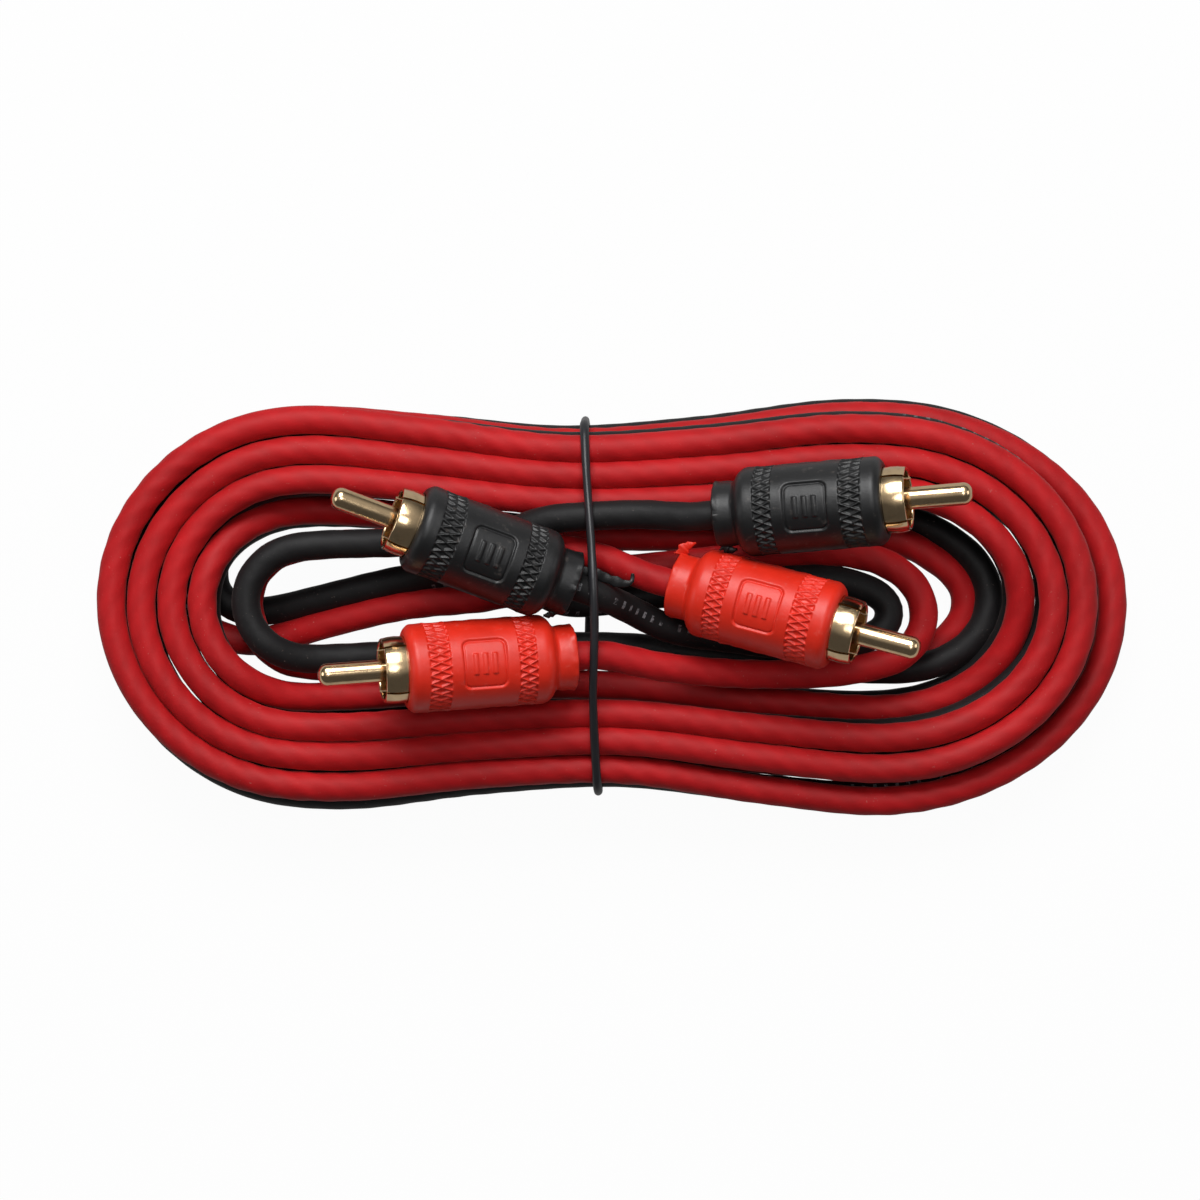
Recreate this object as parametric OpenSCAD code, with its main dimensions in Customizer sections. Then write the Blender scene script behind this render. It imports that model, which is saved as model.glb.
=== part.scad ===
// Twin phono patch lead, wound into a waisted hank and held by a wire tie.
// X runs along the hank, Z is up, and the hank rests on Z = 0.

/* [Cable] */
// Outside diameter of one cable jacket
jacket_d = 3.6; // [3.3:0.05:3.65]
// Clear gap between neighbouring turns
turn_gap = 0.6; // [0.6:0.01:0.7]
// Clear gap between the two layers of turns
layer_gap = 0.45; // [0.42:0.01:0.6]
// Diameter of the stranded centre conductor
conductor_d = 0.9; // [0.6:0.05:1.2]
// Diameter of the foamed dielectric
dielectric_d = 2.2; // [1.8:0.1:2.6]
// Diameter of the twisted shield pigtail
pigtail_d = 0.8; // [0.5:0.05:1.1]

/* [Hank] */
// Half height of the outermost turn at its widest
half_height = 28.4; // [28:0.1:29]
// Reach of the right end past its centre
right_reach = 34.2; // [32:0.1:37]
// Distance of the right end's centre from the origin
right_centre = 37; // [35:0.5:40]
// Distance of the left end's centre from the origin
left_centre = 43.6; // [42:0.1:46]
// How far the tie draws each side in
waist_draw = 3.6; // [3:0.1:4]
// How far the waist is lifted off the surface by the tie below it
waist_lift = 1.95; // [1.9:0.05:2]

/* [Plug] */
// Diameter of the centre pin
pin_d = 3.2; // [3:0.05:3.4]
// Length of the pin in front of the shell's rim
pin_reach = 9; // [8:0.1:10]
// Outside diameter of the ground shell
shell_d = 9.3; // [9.1:0.1:9.9]
// Wall of the ground shell
shell_wall = 0.5; // [0.35:0.05:0.65]
// Length of the shell in front of the moulding
shell_reach = 3.2; // [3:0.1:4]
// Length of the shell inside the moulding
shell_seat = 5; // [4:0.1:6]
// Width of each slot in the shell
slot_w = 0.4; // [0.2:0.1:1]
// Diameter of the moulded body
body_d = 12.4; // [11.8:0.1:12.5]
// Length of the moulded body with its shoulder and neck
body_len = 24.2; // [23:0.1:26]
// Diameter of the neck
neck_d = 9.2; // [8.5:0.1:9.4]
// Length of the neck
neck_len = 3; // [2:0.1:4]
// Length of the rounded shoulder
shoulder_len = 2; // [1.5:0.1:3]
// Radius of the body's front edge
front_round = 1.2; // [0.6:0.1:1.6]
// Side of the square recess in the body
recess_side = 6.4; // [5:0.1:7]
// Depth of the square recess at its edge
recess_depth = 0.35; // [0.2:0.05:0.6]
// Height of the rings beside the grip bands
band_h = 0.2; // [0.1:0.05:0.3]
// Width of the front grip band
front_band = 3; // [2:0.1:4]
// Width of the rear grip band
rear_band = 2.5; // [2:0.1:3.5]
// Depth of the insulator's face behind the shell's rim
face_depth = 4.4; // [3.5:0.1:5.5]
// Diameter of the inner mould
mould_d = 7.6; // [7:0.1:8]
// Length of jacket inside the moulding
jacket_seat = 7; // [5:0.1:8]

/* [Tie] */
// Outside diameter of the tie's plastic coat
tie_d = 1.2; // [1:0.05:1.25]
// Diameter of the tie's steel wire
wire_d = 0.5; // [0.4:0.05:0.7]
// Turns of the twist that closes the tie
twist_turns = 1.5; // [1:0.5:2]

/* [Hidden] */

// ---- route of the hank ----
ring_steps = 24;
hank_rings = 144;
hank_start = 0.3;
turn_step = jacket_d + turn_gap;
outer_turns = 5;
flat_cut = jacket_d / 10;
low_z = jacket_d - flat_cut;
high_z = low_z + 2 * jacket_d + layer_gap;
flat_z = jacket_d / 2 + 0.05;
end_squeeze = 1.06;
waist_x = -3.3;
run_half = (right_centre + left_centre) / 2;
deg_step = 22.5;

// Inset from the outermost turn against the number of turns
inset_table = [
  [0.27, 4.25 * turn_step], [0.33, 4.9 * turn_step], [0.5, 4.72 * turn_step],
  [0.85, 4.66 * turn_step], [1.1, 4.62 * turn_step], [1.3, 3.7 * turn_step],
  [outer_turns, 0], [5.05, 0], [6.4, 2.23 * turn_step]
];
// Height of the twin's centre against the number of turns
height_table = [
  [0.27, high_z], [0.6, high_z], [0.78, low_z], [1.34, low_z], [1.46, high_z],
  [1.6, high_z], [1.72, low_z], [1.85, low_z], [2.05, high_z], [4.66, high_z],
  [5.04, low_z], [6.05, low_z], [6.28, flat_z]
];
// Roll of the twin: 0 has red above black, 90 has red outside black
roll_table = [[0.27, 180], [0.85, 180], [1.08, 270], [1.25, 360], [6.05, 360], [6.28, 450]];
// Shift of the upper layer towards the back, and of its left end outwards
lean_table = [[4.5, 1], [outer_turns, 0]];
left_table = [[0.7, 0.5], [1.4, 1.6], [4.5, 1.6], [outer_turns, 0]];

function unit(v) = v / norm(v);
function draw_in(x) = (1 + cos(180 * max(-1, min(1, (x - waist_x) / run_half)))) / 2;

function run_y(x, h) = h - waist_draw * draw_in(x);

function plan(j, inset, left) =
  let (h = half_height - inset, a = right_reach - end_squeeze * inset)
  j <= 4 ? [right_centre + a * cos(deg_step * j), h * sin(deg_step * j)]
  : j < 8 ? let (x = right_centre - run_half * (j - 4) / 2) [x, run_y(x, h)]
  : j <= 16 ? [(h + left) * cos(90 + deg_step * (j - 8)) - left_centre, h * sin(90 + deg_step * (j - 8))]
  : j < 20 ? let (x = run_half * (j - 16) / 2 - left_centre) [x, -run_y(x, h)]
  : [right_centre + a * cos(deg_step * (j - 8)), h * sin(deg_step * (j - 8))];

function twin(t) =
  let (p = plan(ring_steps * (t - floor(t)), lookup(t, inset_table), lookup(t, left_table)))
  [p[0], p[1] + lookup(t, lean_table), lookup(t, height_table) + waist_lift * draw_in(p[0])];

tangent_step = 0.001;
function along(t) = unit(twin(t + tangent_step) - twin(t - tangent_step));
function outward(d) = unit([d[1], -d[0], 0]);
function to_red(t) =
  let (d = along(t), out = outward(d), r = lookup(t, roll_table))
  cos(r) * cross(out, d) + sin(r) * out;

// A strand's centre: side is 1 for red and -1 for black
function strand(t, side) = twin(t) + side * jacket_d / 2 * to_red(t);

function floored(p) = [p[0], p[1], max(0, p[2])];
function hex_ring(c, d, r) =
  let (w = cross(d, r), q = jacket_d / 4)
  [for (s = [[2, 0], [1, 2], [-1, 2], [-2, 0], [-1, -2], [1, -2]]) floored(c + q * (s[0] * w + s[1] * r))];

hank_end = hank_start + hank_rings / ring_steps;
function hank_t(i) = hank_start + i / ring_steps;
function end_point(t, side, way) = strand(t, side) + way * jacket_d * along(t);
function hank_ring(i, side) =
  i < 0 ? hex_ring(end_point(hank_start, side, -1), along(hank_start), to_red(hank_start))
  : i > hank_rings ? hex_ring(end_point(hank_end, side, 1), along(hank_end), to_red(hank_end))
  : hex_ring(strand(hank_t(i), side), along(hank_t(i)), to_red(hank_t(i)));
function hank_rows(side) = [for (i = [-1:hank_rings + 1]) hank_ring(i, side)];

// ---- closed tubes from rows of rings ----
function flat_list(rows) = [for (row = rows) each row];
function wall_faces(n, m, base, flip) = [
  for (i = [0:n - 2], k = [0:m - 1])
    let (a = base + i * m + k, b = base + i * m + (k + 1) % m, c = a + m, d = b + m)
    each flip ? [[a, c, b], [b, c, d]] : [[a, b, c], [b, d, c]]
];
function cap_faces(m, base, flip) = [
  for (k = [1:m - 2]) flip ? [base, base + k, base + k + 1] : [base, base + k + 1, base + k]
];

module tube(rows) {
  n = len(rows);
  m = len(rows[0]);
  faces = concat(wall_faces(n, m, 0, true), cap_faces(m, 0, true), cap_faces(m, (n - 1) * m, false));
  polyhedron(points = flat_list(rows), faces = faces);
}

module hollow_tube(outer, inner) {
  n = len(outer);
  m = len(outer[0]);
  size = n * m;
  rims = [
    for (k = [0:m - 1])
      let (a = k, b = (k + 1) % m, e = (n - 1) * m + a, f = (n - 1) * m + b)
      each [[a, b, a + size], [b, b + size, a + size], [e, e + size, f], [f, e + size, f + size]]
  ];
  faces = concat(wall_faces(n, m, 0, true), wall_faces(n, m, size, false), rims);
  polyhedron(points = concat(flat_list(outer), flat_list(inner)), faces = faces);
}

function way_at(p, i) = unit(p[min(i + 1, len(p) - 1)] - p[max(i - 1, 0)]);
function round_ring(c, d, side, r, sides) =
  let (u = unit(cross(d, side)), v = cross(u, d))
  [for (k = [0:sides - 1]) c + r * (cos(360 * (k + 0.5) / sides) * u + sin(360 * (k + 0.5) / sides) * v)];
function round_rows(p, side, r, sides) = [
  for (i = [0:len(p) - 1]) round_ring(p[i], way_at(p, i), side, r, sides)
];

// ---- places of the plugs: neck end, turn about Z and rise above the horizontal ----
red_left = [[-5.9, -7.2, 20.3], 184.1, 11];
black_left = [[-6, 2.9, 22.7], 159.6, 11];
red_right = [[8.3, 3, 19.6], -15, 13];
black_right = [[14.3, 12.8, 22], 4.7, 12];
function plug_way(p) = [cos(p[2]) * cos(p[1]), cos(p[2]) * sin(p[1]), sin(p[2])];
function behind(p, s) = p[0] - s * plug_way(p);

// ---- free leads, from the hank's ends to the plugs ----
lead_sides = 8;
lead_r = 0.51 * jacket_d;
square_run = 4;
function from_start(side) = [
  end_point(hank_start, side, -1), end_point(hank_start, side, -1) - square_run * along(hank_start)
];
function from_end(side) = [
  end_point(hank_end, side, 1), end_point(hank_end, side, 1) + square_run * along(hank_end)
];
function to_plug(p) = [behind(p, square_run), p[0]];

red_left_route = concat(from_end(1), [
  [-41, 21.8, 1.9], [-47.4, 21.7, 1.9], [-52.8, 20, 1.9], [-57.9, 15.9, 1.9], [-60.8, 10, 1.9],
  [-61.9, 3.6, 1.9], [-60.6, -1.6, 1.9], [-55.9, -4.8, 2], [-50, -5, 2.4],
  [-42, -2.8, 4.4], [-30, 0, 7], [-18, 1.2, 8.7], [-12, 2.7, 9.1], [-6, 4.2, 10], [6, 5.6, 10.8],
  [18, 6.8, 11], [29, 7.8, 10.8], [38, 6.4, 10], [43.2, 2.5, 9.8], [44.2, -2.6, 9.8],
  [41.4, -7, 10.2], [34, -9.2, 11.4], [26, -9.8, 13], [16, -9.6, 15.2], [6, -8.6, 17.8]
], to_plug(red_left));
black_left_route = concat(from_end(-1), [
  [-41, 17.8, 1.9], [-46.7, 17.8, 1.9], [-51.4, 16.2, 1.9], [-55.2, 12.9, 1.9], [-57.1, 8.4, 1.9],
  [-58, 3.6, 1.9], [-56.6, 0.8, 1.9], [-54, -0.8, 2], [-50, -0.8, 2.4],
  [-42, 1, 4.4], [-30, 3.8, 7], [-18, 5.2, 9.1], [-15, 4.6, 12.1], [-12, 3, 13.2], [-9, 1, 12.6],
  [-6, 0.3, 10.8], [6, 1.6, 11.2], [18, 2.9, 11.2], [29, 3.9, 10.8], [35.6, 2.6, 10],
  [39.3, 0.2, 9.8], [38.8, -3.2, 9.8], [34, -5.2, 11.2], [26, -5.8, 12.6], [16, -4.6, 13.4],
  [8, -3.4, 13.7], [2, -0.5, 16.8]
], to_plug(black_left));
red_right_route = concat(from_start(1), [[-15, 9.1, 11.1], [-8, 8.2, 13.9], [-2, 6.8, 15.9]], to_plug(red_right));
black_right_route = concat(
  from_start(-1), [[-15.5, 10.2, 16.6], [-10, 12.1, 18.1], [-4, 12.6, 18.9], [4, 12.9, 19.3]],
  to_plug(black_right)
);

up = [0, 0, 1];
module lead(route) {
  tube(round_rows(route, up, lead_r, lead_sides));
}

// ---- tie: a wire round the waist whose ends are twisted together in the hollow ----
tie_sides = 8;
tie_gap = 0.1;
tie_z = tie_d / 2 + 0.01;
knot_y = 2.2;
knot_rise = 4.6;
knot_foot = 1.6;
helix_r = tie_d / 2 + 0.13;
helix_steps = 8;
tie_loop = [
  [-0.6, -4, 0.61], [-0.3, -12, 0.61], [0, -20.7, 0.61], [0.1, -22.6, 1.6], [0.2, -24.5, 5.2],
  [0.2, -26.3, 8.9], [0.1, -26.3, 12.8], [0, -25.3, 14.6], [-0.2, -18, 18.4], [-0.2, -12.5, 21],
  [0, -8.6, 22.7], [0.3, -3, 24], [0.3, 2.6, 24.75], [0.2, 8, 23.4], [0, 13.3, 21.8],
  [-0.2, 19, 19.2], [-0.3, 24.6, 16.5], [-0.3, 25.6, 15.2], [-0.2, 26.1, 11], [-0.2, 26.45, 7],
  [-0.1, 26.45, 3.1], [0, 25.4, 1.2], [0, 24, 0.61], [0.4, 15, 0.61], [0.6, 7, 0.61]
];
helix_count = helix_steps * twist_turns;
function helix(k, phase) =
  let (a = 360 * k / helix_steps + phase)
  [waist_x + helix_r * cos(a), knot_y + helix_r * sin(a), tie_z + knot_foot + knot_rise * k / helix_count];
tie_path = concat(
  [for (k = [helix_count:-1:0]) helix(k, 270)],
  [for (p = tie_loop) p + [waist_x, 0, 0]],
  [for (k = [0:helix_count]) helix(k, 90)]
);
across = [1, 0, 0];
module tie_body(r) {
  tube(round_rows(tie_path, across, r, tie_sides));
}

// ---- plug, drawn along +Z from its neck end ----
wall = 0.02;
neck_r = neck_d / 2;
body_r = body_d / 2;
shell_bore = shell_d - 2 * shell_wall;
shell_back = body_len - shell_seat;
rim_z = body_len + shell_reach;
face_z = rim_z - face_depth;
tip_z = rim_z + pin_reach;
mould_back = 5;
arc_steps = 6;
cup_len = 3;
cup_z = shell_back - cup_len;
shank_d = pin_d - 0.6;
shell_step = 0.5;
band_edge = 0.35;
front_band_z = body_len - front_round - 1.6 - front_band;
rear_band_z = neck_len + shoulder_len + 1.2;
pigtail_offset = dielectric_d / 2 + pigtail_d / 2 + 0.1;

function arc(cx, cz, r, from, to) = [
  for (i = [0:arc_steps]) let (a = from + (to - from) * i / arc_steps) [cx + r * cos(a), cz + r * sin(a)]
];
function band(z, w) = [
  [body_r, z], [body_r + band_h, z], [body_r + band_h, z + band_edge], [body_r, z + band_edge],
  [body_r, z + w - band_edge], [body_r + band_h, z + w - band_edge], [body_r + band_h, z + w], [body_r, z + w]
];
shoulder_r = body_r - neck_r;
body_profile = concat(
  [[0, 0], [neck_r, 0], [neck_r, neck_len]],
  [for (i = [1:arc_steps]) let (a = 90 * i / arc_steps)
    [neck_r + shoulder_r * sin(a), neck_len + shoulder_len * (1 - cos(a))]],
  band(rear_band_z, rear_band),
  band(front_band_z, front_band),
  arc(body_r - front_round, body_len - front_round, front_round, 0, 90),
  [[0, body_len]]
);
corner_r = 1.4;
half_side = recess_side / 2;
function corner(sx, sy, from) = [
  for (i = [0:arc_steps])
    let (a = from + 90 * i / arc_steps)
    [sx * (half_side - corner_r) + corner_r * cos(a), sy * (half_side - corner_r) + corner_r * sin(a)]
];
recess_outline = concat(corner(1, 1, 0), corner(-1, 1, 90), corner(-1, -1, 180), corner(1, -1, 270));
recess_z = (rear_band_z + rear_band + front_band_z) / 2;

module place(p) {
  translate(p[0]) rotate([0, 90 - p[2], p[1]]) children();
}

module plug_body(p, tint) {
  color(tint) place(p) difference() {
    rotate_extrude($fn = 64) polygon(body_profile);
    translate([0, 0, -1]) cylinder(d = jacket_d, h = jacket_seat + 1, $fn = 48);
    translate([0, 0, mould_back]) cylinder(d = mould_d, h = shell_back - mould_back, $fn = 48);
    translate([0, 0, shell_back]) cylinder(d = shell_d, h = shell_seat + 1, $fn = 48);
    translate([-body_r - 1, 0, recess_z])
      rotate([0, 90, 0])
      linear_extrude(1 + recess_depth + 0.9) polygon(recess_outline);
  }
}

module plug_shell(p) {
  color("gold") place(p) difference() {
    union() {
      translate([0, 0, shell_back]) cylinder(d = shell_d, h = shell_seat + shell_reach - shell_step, $fn = 64);
      translate([0, 0, rim_z - shell_step])
        cylinder(d1 = shell_d, d2 = shell_d - 2 * shell_step / 3, h = shell_step, $fn = 64);
    }
    translate([0, 0, shell_back - 1]) cylinder(d = shell_bore, h = shell_seat + shell_reach + 2, $fn = 64);
    for (a = [45, 135])
      rotate([0, 0, a]) translate([-shell_d, -slot_w / 2, face_z]) cube([2 * shell_d, slot_w, face_depth + 1]);
  }
}

module plug_insulator(p) {
  color("ivory") place(p) difference() {
    translate([0, 0, shell_back]) cylinder(d = shell_bore, h = face_z - shell_back, $fn = 48);
    translate([0, 0, shell_back - 1]) cylinder(d = shank_d, h = face_z - shell_back + 2, $fn = 48);
  }
}

module plug_pin(p) {
  nose = pin_d / 2;
  color("gold") place(p) difference() {
    union() {
      translate([0, 0, cup_z]) cylinder(d = shank_d, h = face_z - cup_z, $fn = 48);
      translate([0, 0, face_z]) cylinder(d = pin_d, h = tip_z - nose - face_z, $fn = 64);
      translate([0, 0, tip_z - nose]) sphere(d = pin_d, $fn = 64);
    }
    translate([0, 0, cup_z - 1]) cylinder(d = conductor_d, h = cup_len, $fn = 32);
  }
}

module plug_mould(p) {
  color("white") place(p) difference() {
    translate([0, 0, mould_back]) cylinder(d = mould_d, h = shell_back - mould_back, $fn = 48);
    translate([0, 0, mould_back - 1]) cylinder(d = jacket_d, h = jacket_seat - mould_back + 1, $fn = 48);
    translate([0, 0, jacket_seat]) cylinder(d = dielectric_d, h = cup_z - jacket_seat - 1.5, $fn = 32);
    translate([0, 0, jacket_seat]) cylinder(d = conductor_d, h = cup_z - jacket_seat, $fn = 32);
    translate([0, 0, cup_z]) cylinder(d = shank_d, h = shell_back, $fn = 48);
    translate([pigtail_offset, 0, jacket_seat]) cylinder(d = pigtail_d, h = shell_back - jacket_seat + 1, $fn = 24);
  }
}

module plug_jacket_end(p, tint) {
  color(tint) place(p) cylinder(d = jacket_d, h = jacket_seat, $fn = 48);
}

module plug_dielectric(p) {
  color("white") place(p) difference() {
    translate([0, 0, jacket_seat]) cylinder(d = dielectric_d, h = cup_z - jacket_seat - 1.5, $fn = 32);
    translate([0, 0, jacket_seat - 1]) cylinder(d = conductor_d, h = cup_z, $fn = 32);
  }
}

module plug_conductor(p) {
  color("chocolate") place(p) translate([0, 0, jacket_seat])
    cylinder(d = conductor_d, h = cup_z + cup_len - 1 - jacket_seat, $fn = 32);
}

module plug_pigtail(p) {
  color("peru") place(p) translate([pigtail_offset, 0, jacket_seat])
    cylinder(d = pigtail_d, h = shell_back - jacket_seat, $fn = 24);
}

module red_hank() {
  color("firebrick") tube(hank_rows(1));
}

module black_hank() {
  color("dimgray") tube(hank_rows(-1));
}

module red_lead_left() {
  color("firebrick") lead(red_left_route);
}

module black_lead_left() {
  color("dimgray") lead(black_left_route);
}

module red_lead_right() {
  color("firebrick") lead(red_right_route);
}

module black_lead_right() {
  color("dimgray") lead(black_right_route);
}

module tie_coat() {
  color("black") hollow_tube(
    round_rows(tie_path, across, tie_d / 2, tie_sides), round_rows(tie_path, across, wire_d / 2, tie_sides)
  );
}

module tie_wire() {
  color("silver") tie_body(wire_d / 2);
}

// ---- least gap of each hank tube to itself, measured between ring centres ----
function centres(side) = [for (i = [0:hank_rings]) strand(hank_t(i), side)];
function between(a, b, p) =
  let (d = b - a, s = max(0, min(1, (p - a) * d / (d * d)))) norm(a + s * d - p);
function least_gap(c) = min([
  for (i = [0:hank_rings], k = [0:hank_rings - 1])
    if (abs(i - k) > 6 && norm(c[i] - c[k]) < 6 * jacket_d) between(c[k], c[k + 1], c[i])
]) - jacket_d;
echo(red_hank_gap = least_gap(centres(1)), black_hank_gap = least_gap(centres(-1)));

red_hank();
black_hank();
red_lead_left();
black_lead_left();
red_lead_right();
black_lead_right();
tie_coat();
tie_wire();
plug_body(red_left, "tomato");  // red_left_body
plug_shell(red_left);  // red_left_shell
plug_insulator(red_left);  // red_left_insulator
plug_pin(red_left);  // red_left_pin
plug_mould(red_left);  // red_left_mould
plug_jacket_end(red_left, "firebrick");  // red_left_jacket_end
plug_dielectric(red_left);  // red_left_dielectric
plug_conductor(red_left);  // red_left_conductor
plug_pigtail(red_left);  // red_left_pigtail
plug_body(black_left, "dimgray");  // black_left_body
plug_shell(black_left);  // black_left_shell
plug_insulator(black_left);  // black_left_insulator
plug_pin(black_left);  // black_left_pin
plug_mould(black_left);  // black_left_mould
plug_jacket_end(black_left, "dimgray");  // black_left_jacket_end
plug_dielectric(black_left);  // black_left_dielectric
plug_conductor(black_left);  // black_left_conductor
plug_pigtail(black_left);  // black_left_pigtail
plug_body(red_right, "tomato");  // red_right_body
plug_shell(red_right);  // red_right_shell
plug_insulator(red_right);  // red_right_insulator
plug_pin(red_right);  // red_right_pin
plug_mould(red_right);  // red_right_mould
plug_jacket_end(red_right, "firebrick");  // red_right_jacket_end
plug_dielectric(red_right);  // red_right_dielectric
plug_conductor(red_right);  // red_right_conductor
plug_pigtail(red_right);  // red_right_pigtail
plug_body(black_right, "dimgray");  // black_right_body
plug_shell(black_right);  // black_right_shell
plug_insulator(black_right);  // black_right_insulator
plug_pin(black_right);  // black_right_pin
plug_mould(black_right);  // black_right_mould
plug_jacket_end(black_right, "dimgray");  // black_right_jacket_end
plug_dielectric(black_right);  // black_right_dielectric
plug_conductor(black_right);  // black_right_conductor
plug_pigtail(black_right);  // black_right_pigtail
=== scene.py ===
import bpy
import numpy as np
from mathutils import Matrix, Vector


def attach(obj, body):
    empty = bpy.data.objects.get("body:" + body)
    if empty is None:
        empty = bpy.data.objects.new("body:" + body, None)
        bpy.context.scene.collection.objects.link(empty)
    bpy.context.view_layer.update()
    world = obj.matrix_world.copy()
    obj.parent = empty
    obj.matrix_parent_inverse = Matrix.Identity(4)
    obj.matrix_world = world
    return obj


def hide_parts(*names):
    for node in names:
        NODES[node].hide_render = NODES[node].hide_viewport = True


bl_info = {
    "name": "Coiled twin phono lead",
    "version": (1, 0, 0),
    "blender": (4, 5, 0),
    "location": "View3D > Sidebar > Lead",
    "description": "Dresses a coiled and tied twin phono lead with its jackets, plugs and wire tie",
    "category": "Object",
}

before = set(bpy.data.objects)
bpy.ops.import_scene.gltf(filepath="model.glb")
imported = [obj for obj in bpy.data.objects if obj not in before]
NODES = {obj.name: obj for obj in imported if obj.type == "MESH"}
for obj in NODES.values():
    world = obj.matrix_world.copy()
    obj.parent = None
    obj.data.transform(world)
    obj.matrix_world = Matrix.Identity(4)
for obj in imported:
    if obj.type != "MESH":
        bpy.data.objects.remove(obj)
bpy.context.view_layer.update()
MM = 0.001
TAU = 2 * np.pi

# ---------------------------------------------------------------- sizes in millimetres
HANK = dict(
    start=0.3, end=6.3, strand_step=3.6, half_height=28.4, right_reach=34.2, right_centre=37.0,
    left_centre=43.6, squeeze=1.06, waist_x=-3.3, waist_draw=3.6, waist_ease=0.35, waist_lift=1.95, turn=4.2,
)
LOW, HIGH, FLAT = 3.24, 10.89, 1.9
# Tables against the number of turns: inset in turn widths, height, roll in degrees, and shifts in mm
INSET = [
    (0.27, 4.25), (0.33, 4.9), (0.5, 4.72), (0.85, 4.66), (1.1, 4.62),
    (1.3, 3.7), (5.0, 0), (5.05, 0), (6.4, 2.23),
]
HEIGHT = [
    (0.27, HIGH), (0.6, HIGH), (0.78, LOW), (1.34, LOW), (1.46, HIGH), (1.6, HIGH), (1.72, LOW), (1.85, LOW),
    (2.05, HIGH), (4.66, HIGH), (5.04, LOW), (6.05, LOW), (6.28, FLAT),
]
ROLL = [(0.27, 180), (0.85, 180), (1.08, 270), (1.25, 360), (6.05, 360), (6.28, 450)]
LEAN = [(4.5, 0.6), (5.0, 0)]
# Extra roll of the pair in degrees, by the place round the hank in 24ths of a turn
TILT = [
    (0, 5), (3, -8), (6, -10), (8.5, 8), (10, 4), (12, 6),
    (14, -6), (16, -22), (18, -12), (20, 10), (22, 15), (24, 6),
]
LEFT = [(0.7, 0.5), (1.4, 1.6), (4.5, 1.6), (5.0, 0)]
RIGHT = [(0.75, 0), (0.88, 1.8), (1.12, 1.8), (1.25, 0)]

# Neck end, turn about Z and rise above the horizontal of each plug
PLUGS = {
    "red_left": ((-5.9, -7.2, 20.3), 184.1, 11),
    "black_left": ((-6, 2.9, 22.7), 159.6, 11),
    "red_right": ((8.3, 3, 19.6), -15, 13),
    "black_right": ((14.3, 12.8, 22), 4.7, 12),
}
# Bends of each free lead between the hank and its plug
LEADS = {
    "red_left": [
        (-41, 21.8, 1.9), (-47.4, 21.7, 1.9), (-52.8, 20, 1.9), (-57.9, 15.9, 1.9), (-60.8, 10, 1.9),
        (-61.9, 3.6, 1.9), (-60.6, -1.6, 1.9), (-55.9, -4.8, 2), (-50, -5, 2.4), (-42, -2.8, 4.4),
        (-30, 0, 7), (-18, 1.2, 8.7), (-12, 2.7, 9.1), (-6, 4.2, 10), (6, 5.6, 10.8), (18, 6.8, 11),
        (29, 7.8, 10.8), (38, 6.4, 10), (43.2, 2.5, 9.8), (44.2, -2.6, 9.8), (41.4, -7, 10.2),
        (34, -9.2, 11.4), (26, -9.8, 13), (16, -9.6, 15.2), (6, -8.6, 17.8),
    ],
    "black_left": [
        (-41, 17.8, 1.9), (-46.7, 17.8, 1.9), (-51.4, 16.2, 1.9), (-55.2, 12.9, 1.9), (-57.1, 8.4, 1.9),
        (-58, 3.6, 1.9), (-56.6, 0.8, 1.9), (-54, -0.8, 2), (-50, -0.8, 2.4), (-42, 1, 4.4),
        (-30, 3.8, 7), (-18, 5.2, 9.1), (-15, 4.6, 12.1), (-12, 3, 13.2), (-9, 1, 12.6), (-6, 0.3, 10.8),
        (6, 1.6, 11.2), (18, 2.9, 11.2), (29, 3.9, 10.8), (35.6, 2.6, 10), (39.3, 0.2, 9.8),
        (38.8, -3.2, 9.8), (34, -5.2, 11.2), (26, -5.8, 12.6), (16, -4.6, 13.4), (8, -3.4, 13.7),
        (2, -0.5, 16.8),
    ],
    "red_right": [(-15, 9.1, 11.1), (-8, 8.2, 13.9), (-2, 6.8, 15.9)],
    "black_right": [(-15.5, 10.2, 16.6), (-10, 12.1, 18.1), (-4, 12.6, 18.9), (4, 12.9, 19.3)],
}
BODY_LEN, SHELL_RIM, FACE, PIN_TIP = 24.2, 27.4, 23.0, 36.4
FRONT_BAND, REAR_BAND = (18.4, 21.4), (6.2, 8.7)
RECESS_MID, RECESS_LONG, RECESS_WIDE = 13.55, 3.1, 3.7
# Distance between points of a cable, and the number and length of the conductors' lay
CABLE_STEP = 0.8
LAY_STARTS, LAY_LENGTH = 4, 17
# Bends of the tie round the waist, before its ends are twisted
TIE_LOOP = [
    (-0.6, -4, 0.61), (-0.3, -12, 0.61), (0, -20.7, 0.61), (0.1, -22.6, 1.6), (0.2, -24.5, 5.2),
    (0.2, -26.3, 8.9), (0.1, -26.3, 12.8), (0, -25.3, 14.6), (-0.2, -18, 18.4), (-0.2, -12.5, 21),
    (0, -8.6, 22.7), (0.3, -3, 24), (0.3, 2.6, 24.75), (0.2, 8, 23.4), (0, 13.3, 21.8),
    (-0.2, 19, 19.2), (-0.3, 24.6, 16.5), (-0.3, 25.6, 15.2), (-0.2, 26.1, 11), (-0.2, 26.45, 7),
    (-0.1, 26.45, 3.1), (0, 25.4, 1.2), (0, 24, 0.61), (0.4, 15, 0.61), (0.6, 7, 0.61),
]


def linear(r, g, b):
    """An 8-bit display colour as the linear values that a shader reads."""
    c = np.array([r, g, b]) / 255
    return tuple(float(x) for x in np.where(c <= 0.04045, c / 12.92, ((c + 0.055) / 1.055) ** 2.4))


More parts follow.
